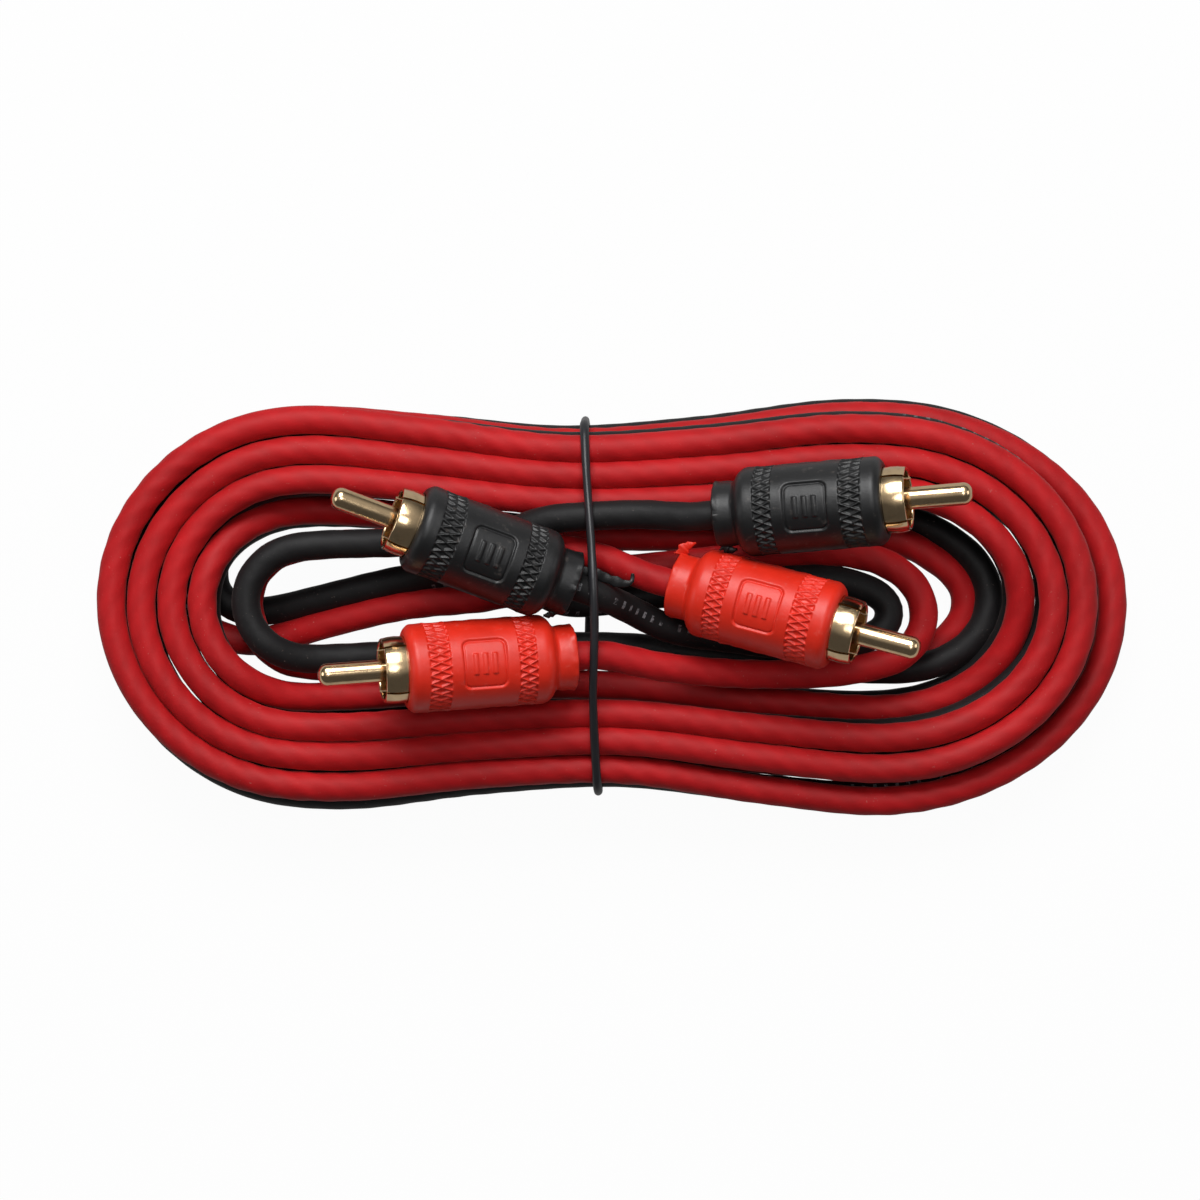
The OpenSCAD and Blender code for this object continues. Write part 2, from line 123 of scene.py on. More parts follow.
def colour_prop(name, description, rgb):
    return bpy.props.FloatVectorProperty(
        name=name, description=description, default=linear(*rgb), size=3, subtype="COLOR", min=0, max=1
    )


def size_prop(name, description, mm, low, high):
    return bpy.props.FloatProperty(
        name=name, description=description, default=mm * MM, min=low * MM, max=high * MM,
        subtype="DISTANCE", unit="LENGTH",
    )


class LeadCableSettings(bpy.types.PropertyGroup):
    """Sizes and colours of the two bonded cables."""

    diameter: size_prop("Jacket diameter", "Outside diameter of one cable", 4.1, 3.4, 4.2)
    lump: size_prop("Lay height", "Height of the conductor lay that shows through the jacket", 0.05, 0, 0.12)
    wander: size_prop("Wander", "How far a turn strays from its place", 0.13, 0, 0.3)
    red: colour_prop("Red jacket", "Colour of the red jacket", (186, 22, 27))
    black: colour_prop("Black jacket", "Colour of the black jacket", (26, 25, 26))
    print_colour: colour_prop("Marking", "Colour of the plain strokes on the black jacket", (170, 168, 172))


class LeadPlugSettings(bpy.types.PropertyGroup):
    """Sizes and colours of the four plugs."""

    body_diameter: size_prop("Body diameter", "Diameter of the moulded body", 12.4, 11, 12.6)
    neck_diameter: size_prop("Neck diameter", "Diameter of the moulded neck", 9.2, 8, 9.6)
    hatch_depth: size_prop("Hatch depth", "Depth of the cross-hatched bands", 0.34, 0, 0.5)
    pin_diameter: size_prop("Pin diameter", "Diameter of the centre pin", 3.2, 3, 3.4)
    red: colour_prop("Red moulding", "Colour of the red moulding", (222, 42, 22))
    black: colour_prop("Black moulding", "Colour of the black moulding", (20, 20, 21))
    gold: colour_prop("Plating", "Colour of the plated contacts", (228, 198, 156))
    insulator: colour_prop("Insulator", "Colour of the insulator", (226, 214, 186))


class LeadTieSettings(bpy.types.PropertyGroup):
    """Sizes and colours of the wire tie."""

    diameter: size_prop("Tie diameter", "Outside diameter of the coated wire", 1.2, 0.8, 1.3)
    coat: colour_prop("Coat", "Colour of the plastic coat", (38, 38, 41))
    wire: colour_prop("Wire", "Colour of the bare wire", (170, 170, 172))


class LeadStageSettings(bpy.types.PropertyGroup):
    """Floor, camera and lamps."""

    height: size_prop("Camera height", "Height of the camera above the hank", 800, 300, 2000)
    floor: colour_prop("Floor", "Colour of the floor", (140, 140, 140))
    key: bpy.props.FloatProperty(
        name="Key lamp", description="Power of the main lamp", default=5.2, min=0, unit="POWER"
    )
    fill: bpy.props.FloatProperty(
        name="Fill", description="Strength of the room's light", default=0.1, min=0, max=2
    )


# ---------------------------------------------------------------- curves
def look_up(t, table):
    """Linear interpolation in a table of pairs."""
    pairs = np.array(table, float)
    return np.interp(t, pairs[:, 0], pairs[:, 1])


def unit(v):
    return v / np.linalg.norm(v, axis=-1, keepdims=True)


def draw_in(x):
    """A raised cosine: 1 at the waist and 0 at the centres of the two ends."""
    half = (HANK["right_centre"] + HANK["left_centre"]) / 2
    return 0.5 + 0.5 * np.cos(np.pi * np.clip((x - HANK["waist_x"]) / half, -1, 1))


def twin_line(t):
    """Middle of the pair after t turns: half an ellipse round each end, a drawn-in run along each side."""
    t = np.asarray(t, float)
    steps, left, lean = look_up(t, INSET), look_up(t, LEFT), look_up(t, LEAN)
    j = 24 * (t % 1)
    h = HANK["half_height"] - HANK["turn"] * steps + 0.6 * look_up(t, RIGHT)
    a = HANK["right_reach"] - HANK["squeeze"] * HANK["turn"] * steps + look_up(t, RIGHT)
    right, back = HANK["right_centre"], HANK["left_centre"]
    span = right + back
    draw = HANK["waist_draw"] - HANK["waist_ease"] * steps
    top_x, low_x = right - span * (j - 4) / 4, -back + span * (j - 16) / 4
    near, far = np.radians(22.5 * (j - 8)), np.radians(22.5 * j - 90)
    start = np.radians(22.5 * j)
    cases = [j <= 4, j < 8, j <= 16, j < 20]
    x = np.select(
        cases,
        [right + a * np.cos(start), top_x, -back + (h + left) * np.cos(far), low_x],
        right + a * np.cos(near),
    )
    y = np.select(
        cases,
        [h * np.sin(start), h - draw * draw_in(top_x), h * np.sin(far), -h + draw * draw_in(low_x)],
        h * np.sin(near),
    )
    z = look_up(t, HEIGHT) + HANK["waist_lift"] * draw_in(x)
    return np.stack([x, y + lean, z], -1)


def strand_line(t, side):
    """One cable of the pair: the middle line moved half a strand towards its side, at the table's roll."""
    step = 1e-3
    along = unit(twin_line(t + step) - twin_line(t - step))
    out = unit(np.stack([along[:, 1], -along[:, 0], 0 * t], -1))
    flat = np.clip((t - 0.3) * 4, 0, 1) * np.clip((6.0 - t) * 4, 0, 1)
    roll = np.radians(look_up(t, ROLL) + flat * look_up(24 * (t % 1), TILT))[:, None]
    towards = np.cos(roll) * np.cross(out, along) + np.sin(roll) * out
    return twin_line(t) + side * HANK["strand_step"] / 2 * towards


def plug_axes(name):
    """Neck end and the three axes of a plug: its side, its back and the way it points."""
    origin, turn, rise = PLUGS[name]
    a, e = np.radians(turn), np.radians(rise)
    way = np.array([np.cos(e) * np.cos(a), np.cos(e) * np.sin(a), np.sin(e)])
    down = np.array([np.sin(e) * np.cos(a), np.sin(e) * np.sin(a), -np.cos(e)])
    return np.array(origin, float), down, np.cross(way, down), way


def spline(points, count):
    """Centripetal Catmull-Rom curve: each span blends its inner points along tangents from both sides."""
    p = np.asarray(points, float)
    p = np.vstack([2 * p[0] - p[1], p, 2 * p[-1] - p[-2]])
    gap = np.sqrt(np.linalg.norm(np.diff(p, axis=0), axis=1))[:, None]
    d0, d1, d2 = gap[:-2], gap[1:-1], gap[2:]
    m1 = d1 * ((p[1:-2] - p[:-3]) / d0 - (p[2:-1] - p[:-3]) / (d0 + d1) + (p[2:-1] - p[1:-2]) / d1)
    m2 = d1 * ((p[2:-1] - p[1:-2]) / d1 - (p[3:] - p[1:-2]) / (d1 + d2) + (p[3:] - p[2:-1]) / d2)
    s = np.linspace(0, 1, count, endpoint=False)[:, None, None]
    a, b = p[1:-2], p[2:-1]
    curve = (
        (2 * s**3 - 3 * s**2 + 1) * a
        + (s**3 - 2 * s**2 + s) * m1
        + (3 * s**2 - 2 * s**3) * b
        + (s**3 - s**2) * m2
    )
    return np.vstack([curve.transpose(1, 0, 2).reshape(-1, 3), p[-2:-1]])


def even(points, step):
    """The same line with its points an equal distance apart."""
    run = np.concatenate([[0], np.cumsum(np.linalg.norm(np.diff(points, axis=0), axis=1))])
    s = np.linspace(0, run[-1], int(round(run[-1] / step)) + 1)
    return np.stack([np.interp(s, run, points[:, k]) for k in range(3)], -1)


def soften(points, reach):
    """The line averaged with a bell curve of that reach in points, its ends held by their own reflections."""
    k = np.arange(-3 * reach, 3 * reach + 1)
    bell = np.exp(-((k / reach) ** 2) / 2)
    bell /= bell.sum()
    n = len(k) // 2
    lead = 2 * points[0] - points[n:0:-1]
    tail = 2 * points[-1] - points[-2 : -n - 2 : -1]
    whole = np.vstack([lead, points, tail])
    return np.stack([np.convolve(whole[:, c], bell, "valid") for c in range(3)], -1)


def waves(s, seed, length, terms=5):
    """Smooth noise along a line: a sum of sines whose lengths and phases are drawn from a fixed seed."""
    rng = np.random.default_rng(seed)
    total = 0 * s
    for lap, phase in zip(rng.uniform(0.6, 2.2, terms), rng.uniform(0, TAU, terms)):
        total = total + np.sin(TAU * s / (length * lap) + phase)
    return total / np.sqrt(terms)


def cable_line(colour, wander):
    """Route of one whole cable, from its left plug through the hank to its right plug."""
    side = 1 if colour == "red" else -1
    t = np.linspace(HANK["start"], HANK["end"], 577)
    base = strand_line(t, side)
    fade = np.clip(np.minimum(t - t[0], t[-1] - t) * 4, 0, 1)
    base[:, 1] += wander * fade * waves(t * 290, 4, 55)
    base[:, 0] += wander * fade * waves(t * 290, 9, 65)
    base[:, 2] += 0.4 * wander * fade * waves(t * 290, 14, 60)
    ends = []
    for name in (f"{colour}_left", f"{colour}_right"):
        neck, _, _, way = plug_axes(name)
        ends.append(np.vstack([LEADS[name], neck - 4 * way, neck, neck + 3.5 * way]))
    points = np.vstack([ends[0][::-1], base[::-1][::4], ends[1]])
    line = even(spline(points, 24), 0.4)
    return even(soften(line, 4), CABLE_STEP)


# ---------------------------------------------------------------- meshes
def quads(rows, cols, wrap_rows, wrap_cols, first=0):
    """Faces of a grid of points, each joined to its next row and its next column."""
    i = np.arange(rows if wrap_rows else rows - 1)[:, None]
    j = np.arange(cols if wrap_cols else cols - 1)[None, :]
    k, m = (i + 1) % rows, (j + 1) % cols
    corners = [i * cols + j, i * cols + m, k * cols + m, k * cols + j]
    return first + np.stack([c + 0 * i + 0 * j for c in corners], -1).reshape(-1, 4)


def outward(points, faces):
    """The faces turned over if their signed volume says that they point inwards."""
    a, b, c, d = (points[faces[:, k]] for k in range(4))
    volume = (np.cross(a, b) * c).sum() + (np.cross(a, c) * d).sum()
    return faces if volume > 0 else faces[:, ::-1]


def add_piece(name, points, faces, finish, slot, replaced=(), uv=None, sharp=None):
    """Makes the mesh from points in millimetres, gives it its finish and lets it ride with the CAD part."""
    points = np.asarray(points, float).reshape(-1, 3)
    mesh = bpy.data.meshes.new(name)
    loops = [[v for n, v in enumerate(f) if v != f[n - 1]] for f in faces.tolist()]
    mesh.from_pydata((points * MM).tolist(), [], loops)
    if uv is not None:
        layer = mesh.uv_layers.new(name="Lay")
        layer.uv.foreach_set("vector", uv.reshape(-1))
    mesh.polygons.foreach_set("use_smooth", np.ones(len(mesh.polygons), bool))
    if sharp is not None:
        mesh.set_sharp_from_angle(angle=np.radians(sharp))
    mesh.materials.append(finish)
    mesh.validate()
    mesh.update()
    obj = bpy.data.objects.new(name, mesh)
    bpy.context.scene.collection.objects.link(obj)
    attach(obj, "root")
    if replaced:
        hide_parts(*replaced)
    return obj


def swept(line, radius, sides, level):
    """A tube: at each point of the line, the angle's cosine along one normal and its sine along the other."""
    along = unit(np.gradient(line, axis=0))
    out = unit(np.cross(along, level))
    up = np.cross(out, along)
    angle = np.arange(sides) * TAU / sides
    ring = np.cos(angle)[None, :, None] * up[:, None] + np.sin(angle)[None, :, None] * out[:, None]
    return line[:, None] + radius[..., None] * ring


def closed_tube(points):
    """Points and faces of a tube with each end closed on its own middle."""
    rows, cols = points.shape[:2]
    ends = np.stack([points[0].mean(0), points[-1].mean(0)])
    everything = np.vstack([points.reshape(-1, 3), ends])
    j = np.arange(cols)
    n, last = rows * cols, (rows - 1) * cols
    m = (j + 1) % cols
    near = np.stack([m, j, 0 * j + n, 0 * j + n], -1)
    far = np.stack([last + j, last + m, 0 * j + n + 1, 0 * j + n + 1], -1)
    return everything, outward(everything, np.vstack([quads(rows, cols, False, True), near, far]))


def plate(outer, inner):
    """A thin plate between two grids of points, closed along its four edges."""
    rows, cols = outer.shape[:2]
    n = rows * cols
    everything = np.vstack([outer.reshape(-1, 3), inner.reshape(-1, 3)])
    top = quads(rows, cols, False, False)
    under = quads(rows, cols, False, False, n)[:, ::-1]
    i, j = np.arange(rows - 1) * cols, np.arange(cols - 1)
    edges = []
    rims = ((i, i + cols), (i + 2 * cols - 1, i + cols - 1), (j + 1, j), (n - cols + j, n - cols + j + 1))
    for a, b in rims:
        edges.append(np.stack([a, b, b + n, a + n], -1))
    return everything, outward(everything, np.vstack([top, under, *edges]))


def turned(axes, profile, cols, move=None):
    """A closed profile carried round a plug's axis; move adds to its radius by height and angle."""
    origin, down, side, way = axes
    angle = np.arange(cols) * TAU / cols
    radius = profile[:, :1] + (0 if move is None else move(profile[:, 1][:, None], angle[None]))
    radius = np.maximum(radius + 0 * angle[None], 0)
    around = -np.cos(angle)[None, :, None] * down + np.sin(angle)[None, :, None] * side
    points = origin + profile[:, 1][:, None, None] * way + radius[..., None] * around
    everything = points.reshape(-1, 3)
    return everything, outward(everything, quads(len(profile), cols, True, True))


def arc(r, z, size, start, stop, count):
    """Points of an arc round r, z between two angles in degrees."""
    a = np.radians(np.linspace(start, stop, count))
    return np.stack([r + size * np.cos(a), z + size * np.sin(a)], -1)


def ease(value, low, high):
    """Smooth step from 0 at low to 1 at high."""
    s = np.clip((value - low) / (high - low), 0, 1)
    return s * s * (3 - 2 * s)


def hatch(z, angle, band, radius):
    """Crossed ridges in a sunken band: two families of slanting lines, each a bell curve across."""
    low, high = band
    count = 32
    pitch = TAU * radius / count
    ridge = 0
    for slant in (1, -1):
        phase = count * angle + slant * TAU * (z - low) / (high - low)
        gap = np.abs((phase / TAU + 0.5) % 1 - 0.5) * pitch * 0.92
        ridge = np.maximum(ridge, np.exp(-((gap / 0.16) ** 2)))
    inside = ease(z, low - 0.08, low + 0.08) * (1 - ease(z, high - 0.08, high + 0.08))
    return inside * (ridge - 0.85)


def badge(z, angle, radius):
    """A sunken rounded square with a grooved edge and three plain bars."""
    across = ((angle + np.pi) % TAU - np.pi) * radius
    up = z - RECESS_MID
    corner = 1.1
    qx, qy = np.abs(across) - RECESS_WIDE + corner, np.abs(up) - RECESS_LONG + corner
    edge = np.hypot(np.maximum(qx, 0), np.maximum(qy, 0)) + np.minimum(np.maximum(qx, qy), 0) - corner
    depth = -0.2 * np.exp(-(((edge + 0.12) / 0.15) ** 2)) - 0.24 * (1 - ease(edge, -0.22, 0.06))
    for middle in (-1.35, 0, 1.35):
        bx, by = np.abs(up - middle) - 0.28, np.abs(across) - 1.5
        far = np.hypot(np.maximum(bx, 0), np.maximum(by, 0)) + np.minimum(np.maximum(bx, by), 0)
        depth = depth + 0.22 * (1 - ease(far, -0.08, 0.14))
    return depth


def body_profile(radius, neck):
    """Closed profile of a moulded body: neck, shoulder, barrel, rounded front and the bores inside it."""
    heights = np.concatenate([
        np.arange(5.3, 6.0, 0.22), np.arange(6.0, 8.9, 0.09), np.arange(9.0, 9.9, 0.25),
        np.arange(9.9, 17.2, 0.115), np.arange(17.3, 18.2, 0.25), np.arange(18.2, 21.6, 0.09),
        np.arange(21.7, 22.75, 0.22),
    ])
    barrel = np.stack([0 * heights + radius, heights], -1)
    return np.vstack([
        [(1.95, 0.5), (1.98, 0.12)], arc(neck - 0.35, 0.35, 0.35, -90, 0, 7), [(neck - 0.02, 0.8)],
        np.stack([np.linspace(neck - 0.04, neck - 0.14, 8), np.linspace(1.0, 2.75, 8)], -1),
        [(neck, 2.92), (neck + 0.12, 3.03)],
        arc(radius - 1.9, 5.05, 1.9, -68, -4, 14),
        barrel,
        arc(radius - 1.35, BODY_LEN - 1.35, 1.35, 3, 84, 14),
        [(4.8, BODY_LEN), (4.7, BODY_LEN - 0.12), (4.68, 23.0), (4.68, 19.1)],
        [(3.85, 19.05), (3.85, 4.95), (1.95, 4.9)],
    ])


def body_relief(seed, depth, radius):
    """Height added to a moulded body: hatched bands, badge, parting lines and a ragged neck rim."""
    def relief(z, angle):
        outside = ease(z, 4.6, 5.4) * (1 - ease(z, 23.2, 23.9))
        bands = hatch(z, angle, FRONT_BAND, radius) + hatch(z, angle, REAR_BAND, radius)
        skin = depth * bands + badge(z, angle, radius)
        off = np.abs(np.abs((angle + np.pi) % TAU - np.pi) - np.pi / 2) * radius
        seam = 0.08 * np.exp(-((off / 0.13) ** 2)) * (1 + 0.5 * waves(z, seed, 2.5))
        rag = 0.16 * np.exp(-((z - 0.2) / 0.45) ** 2) * np.maximum(waves(angle * 5, seed + 1, 3.1), -0.4)
        return outside * skin + seam * ease(z, 0.3, 1.0) * (1 - ease(z, 23.4, 24.1)) + rag

    def only_outside(z, angle):
        walls = np.ones_like(z)
        walls[-6:] = 0
        walls[:1] = 0
        return walls * relief(z, angle)

    return only_outside


def shell_sector(axes, start, stop):
    """One leaf of a slotted shell: an outer wall that turns in over the rim, and the inner wall behind it."""
    origin, down, side, way = axes
    outer = np.vstack([
        [(4.6, 19.6), (4.6, 23.9), (4.67, SHELL_RIM - 2.8), (4.72, SHELL_RIM - 2.0), (4.68, SHELL_RIM - 1.2)],
        [(4.58, SHELL_RIM - 0.6)], arc(4.22, SHELL_RIM - 0.32, 0.32, 12, 150, 9),
    ])
    run = np.linspace(0, 1, len(outer))
    height = np.interp(run, [0, 1], [19.6, SHELL_RIM - 0.4])
    inner = np.stack([np.interp(run, [0, 0.6, 1], [4.2, 4.22, 3.98]), height], -1)
    angle = np.linspace(start, stop, 26)
    around = -np.cos(angle)[None, :, None] * down + np.sin(angle)[None, :, None] * side
    walls = []
    for wall in (outer, inner):
        walls.append(origin + wall[:, 1][:, None, None] * way + wall[:, 0][:, None, None] * around)
    return plate(*walls)


def ribbon(points, widths, thick, seed, facing=(0.1, -0.2, 1.0)):
    """A scrap of flash: a strip along a short curve, with a ragged width and a bell-shaped thickness."""
    line = even(spline(points, 12), 0.12)
    s = np.linspace(0, 1, len(line))
    along = unit(np.gradient(line, axis=0))
    side = unit(np.cross(along, facing))
    lift = np.cross(side, along)
    half = np.interp(s, np.linspace(0, 1, len(widths)), widths) * (1 + 0.16 * waves(s * 10, seed, 2.2))
    across = np.linspace(-1, 1, 9)
    flat = line[:, None] + (half[:, None] * across[None])[..., None] * side[:, None]
    body = (thick * (1 - 0.7 * across**2))[None, :, None] * lift[:, None]
    crumple = (0.07 * waves(s * 10, seed + 3, 2.6))[:, None, None] * lift[:, None]
    return plate(flat + body / 2 + crumple, flat - body / 2 + crumple)


def join(parts):
    """Several sets of points and faces as one."""
    points, faces, count = [], [], 0
    for p, f in parts:
        points.append(p)
        faces.append(f + count)
        count += len(p)
    return np.vstack(points), np.vstack(faces)


# ---------------------------------------------------------------- finishes
class Signal:
    """A value in a shader tree. Arithmetic on it adds Math nodes."""

    def __init__(self, tree, socket):
        self.tree, self.socket = tree, socket

    def math(self, operation, *others, first=False):
        node = self.tree.nodes.new("ShaderNodeMath")
        node.operation = operation
        terms = [*others, self] if first else [self, *others]
        for slot, term in zip(node.inputs, terms):
            if isinstance(term, Signal):
                self.tree.links.new(term.socket, slot)
            else:
                slot.default_value = term
        return Signal(self.tree, node.outputs[0])

    def __add__(self, other):
        return self.math("ADD", other)

    def __radd__(self, other):
        return self.math("ADD", other)

    def __sub__(self, other):
        return self.math("SUBTRACT", other)

    def __rsub__(self, other):
        return self.math("SUBTRACT", other, first=True)

    def __mul__(self, other):
        return self.math("MULTIPLY", other)

    def __rmul__(self, other):
        return self.math("MULTIPLY", other)

    def __truediv__(self, other):
        return self.math("DIVIDE", other)

    def __lt__(self, other):
        return self.math("LESS_THAN", other)

    def __gt__(self, other):
        return self.math("GREATER_THAN", other)

    def __abs__(self):
        return self.math("ABSOLUTE")

    def fraction(self):
        return self.math("FRACT")

    def floor(self):
        return self.math("FLOOR")

    def sine(self):
        return self.math("SINE")

    def above(self, low, high):
        """0 at low and 1 at high, held between them."""
        return ((self - low) / (high - low)).math("MINIMUM", 1).math("MAXIMUM", 0)


class Finish:
    """A material built from nodes, ending in one Principled shader."""

    def __init__(self, name, constants):
        self.material = bpy.data.materials.new(name)
        self.material.use_nodes = True
        self.tree = self.material.node_tree
        self.tree.nodes.clear()
        self.shader = self.tree.nodes.new("ShaderNodeBsdfPrincipled")
        output = self.tree.nodes.new("ShaderNodeOutputMaterial")
        self.tree.links.new(self.shader.outputs[0], output.inputs["Surface"])
        for socket, value in constants.items():
            self.shader.inputs[socket].default_value = value

    def node(self, kind, settings, inputs, output=0):
        made = self.tree.nodes.new(kind)
        for key, value in settings.items():
            setattr(made, key, value)
        for socket, value in inputs.items():
            if isinstance(value, Signal):
                self.tree.links.new(value.socket, made.inputs[socket])
            else:
                made.inputs[socket].default_value = value
        return Signal(self.tree, made.outputs[output])

    def place(self):
        return self.node("ShaderNodeTexCoord", {}, {}, "Object")

    def noise(self, size, detail=3.0, rough=0.5, where=None, seed=0.0):
        """Noise whose features are about size metres across."""
        settings = {"noise_dimensions": "4D"}
        inputs = {"Scale": 1 / size, "Detail": detail, "Roughness": rough, "W": seed}
        inputs["Vector"] = self.place() if where is None else where
        return self.node("ShaderNodeTexNoise", settings, inputs, 0)

    def mix(self, factor, first, second):
        """Colour mix; first and second are signals or colours."""
        ends = [c if isinstance(c, Signal) else (*c, 1.0) for c in (first, second)]
        inputs = {0: factor, 6: ends[0], 7: ends[1]}
        return self.node("ShaderNodeMix", {"data_type": "RGBA"}, inputs, 2)

    def bump(self, height, strength, distance, normal=None):
        inputs = {"Height": height, "Strength": strength, "Distance": distance}
        if normal is not None:
            inputs["Normal"] = normal
        return self.node("ShaderNodeBump", {}, inputs)

    def set(self, **signals):
        names = {"colour": "Base Color", "rough": "Roughness", "normal": "Normal", "metal": "Metallic"}
        for key, signal in signals.items():
            self.tree.links.new(signal.socket, self.shader.inputs[names[key]])
        return self.material


def shade(colour, factor):
    return tuple(min(1.0, c * factor) for c in colour)


def jacket_finish(name, colour, valley_shade_and_tone_depth, dust, marking=None):
    """Matte extruded jacket: darker in the lay's valleys as painted shade, cloudy, dusty, and finely grained.
    """
    f = Finish(name, {
        "Specular IOR Level": 0.24, "Sheen Weight": 0.06,
        "Sheen Roughness": 0.4, "Sheen Tint": (1.0, 0.8, 0.76, 1),
    })
    lay = f.node("ShaderNodeUVMap", {"uv_map": "Lay"}, {})
    split = f.tree.nodes.new("ShaderNodeSeparateXYZ")
    f.tree.links.new(lay.socket, split.inputs[0])
    around, length = Signal(f.tree, split.outputs[0]), Signal(f.tree, split.outputs[1])
    # Painted shade and light: the colour darkens in the valleys of the conductor lay and lightens on its
    # ridges, mixed below with a cloudy tone
    wave = ((around * LAY_STARTS - length * (10 * LAY_STARTS / LAY_LENGTH)) * TAU + np.pi / 2).sine()
    cloud = f.noise(0.006, 4, 0.55)
    patch = f.noise(0.022, 2, 0.5, seed=2.0)
    valley_shade_and_tone = (wave * 0.5 + 0.5) * 0.16 + cloud.above(0.3, 0.7) * 0.5 + patch.above(0.35, 0.65) * 0.34
    colours = f.mix(valley_shade_and_tone, shade(colour, 1 - valley_shade_and_tone_depth), shade(colour, 1 + valley_shade_and_tone_depth * 0.4))
    fine = f.noise(0.00035, 2, 0.6, seed=5.0).above(0.66, 0.74)
    specks = fine * f.noise(0.004, 2, 0.5, seed=7.0).above(0.45, 0.65)
    colours = f.mix(specks * dust, colours, linear(176, 160, 150))
    if marking is not None:
        across = ((around + length * 0.013 + 0.5).fraction() - 0.5) * 12.9
        cell = (length * 6).floor()
        dice = f.node("ShaderNodeTexWhiteNoise", {"noise_dimensions": "1D"}, {"W": cell}, 0)
        beside = abs((length * 6).fraction() - 0.5)
        stroke = (beside < 0.16) * (abs(across) < dice * 0.3 + 0.3) * (dice > 0.2)
        groups = (length / 9.3).fraction() < 0.36
        worn = f.noise(0.0006, 2, 0.6, seed=9.0).above(0.4, 0.55)
        colours = f.mix(stroke * groups * worn * 0.45, colours, marking)
    grain = f.noise(0.00022, 3, 0.6, seed=3.0)
    dents = f.noise(0.0016, 2, 0.5, seed=4.0)
    rough = cloud * 0.16 + 0.5
    normal = f.bump(grain, 0.25, 0.00006, f.bump(dents, 0.35, 0.00022))
    return f.set(colour=colours, rough=rough, normal=normal)


def moulding_finish(name, colour, deep, grain_strength):
    """Satin moulded plastic with a spark-eroded grain and slight flow marks."""
    f = Finish(name, {"Specular IOR Level": 0.45, "Coat Weight": 0.06, "Coat Roughness": 0.3})
    flow = f.noise(0.004, 3, 0.55)
    colours = f.mix(flow.above(0.3, 0.7), shade(colour, 1 - deep), shade(colour, 1 + deep * 0.5))
    rubbed = f.noise(0.0012, 3, 0.6, seed=6.0).above(0.6, 0.72)
    colours = f.mix(rubbed * 0.07, colours, linear(205, 190, 180))
    grain = f.noise(0.00016, 2, 0.65, seed=1.0)
    peel = f.noise(0.0009, 2, 0.5, seed=2.0)
    normal = f.bump(grain, grain_strength, 0.00005, f.bump(peel, 0.25, 0.00009))
    return f.set(colour=colours, rough=flow * 0.14 + 0.36, normal=normal)


def plating_finish(name, colour):
    """Polished plating with drawn streaks, faint stains and fine scratches."""
    f = Finish(name, {"Metallic": 1.0, "IOR": 1.45})
    stain = f.noise(0.0022, 4, 0.6)
    colours = f.mix(stain.above(0.45, 0.75), colour, shade(colour, 0.72))
    wear = f.noise(0.0005, 3, 0.6, seed=4.0)
    rough = stain.above(0.4, 0.7) * 0.12 + wear * 0.1 + 0.1
    normal = f.bump(f.noise(0.0004, 3, 0.6, seed=8.0), 0.16, 0.00003)
    return f.set(colour=colours, rough=rough, normal=normal)


def plain_finish(name, colour, rough, metallic=0.0, grain=0.0006):
    """A simple finish with a cloudy colour and a fine grain, for insulator, wire and inner parts."""
    f = Finish(name, {"Metallic": metallic, "Specular IOR Level": 0.4})
    cloud = f.noise(0.002, 3, 0.5)
    colours = f.mix(cloud, shade(colour, 0.86), shade(colour, 1.05))
    normal = f.bump(f.noise(grain, 2, 0.6), 0.25, 0.00005)
    return f.set(colour=colours, rough=cloud * 0.12 + rough, normal=normal)


# ---------------------------------------------------------------- pieces
INNER = ("mould", "jacket_end", "dielectric", "conductor", "pigtail")


class LEAD_OT_cables(bpy.types.Operator):
    """Lay the red and the black cable along the hank and its leads"""

    bl_idname = "lead.cables"
    bl_label = "Cables"

    def execute(self, context):
        settings = context.scene.lead_cable
        radius = settings.diameter / MM / 2
        for colour in ("red", "black"):
            line = cable_line(colour, settings.wander / MM)
            s = np.arange(len(line)) * CABLE_STEP
            sides = 24
            angle = np.arange(sides) * TAU / sides
            height = settings.lump / MM * (1 if colour == "red" else 0.6)
            twist = np.cos(LAY_STARTS * (angle[None] - TAU * s[:, None] / LAY_LENGTH))
            lay = twist * (0.65 + 0.35 * waves(s, 21, 30))[:, None]
            points = swept(line, radius + height * lay, sides, (0, 0, 1))
            points[..., 2] = np.maximum(points[..., 2], 0.02)
            mesh_points, faces = closed_tube(points)
            u = np.arange(sides) / sides
            low = np.stack(np.broadcast_arrays(u[None], s[:-1, None] / 10), -1)
            step_u, step_v = np.array([1 / sides, 0]), np.array([0, CABLE_STEP / 10])
            corners = np.stack([low, low + step_u, low + step_u + step_v, low + step_v], 2).reshape(-1, 4, 2)
            if faces[0, 0] != 0:
                corners = corners[:, ::-1]
            caps = np.zeros((2 * sides * 3, 2))
            uv = np.vstack([corners.reshape(-1, 2), caps])
            marking = tuple(settings.print_colour) if colour == "black" else None
            tint = tuple(settings.red if colour == "red" else settings.black)
            # The third argument is the depth of the painted shade in the lay's valleys, together with the
            # cloudy tone
            finish = jacket_finish(f"{colour}_jacket", tint, 0.34 if colour == "red" else 0.3, 0.3, marking)
            replaced = [f"{colour}_hank", f"{colour}_lead_left", f"{colour}_lead_right"]
            piece = add_piece(f"{colour}_cable", mesh_points, faces, finish, f"{colour}_jacket", replaced, uv)
        return {"FINISHED"}


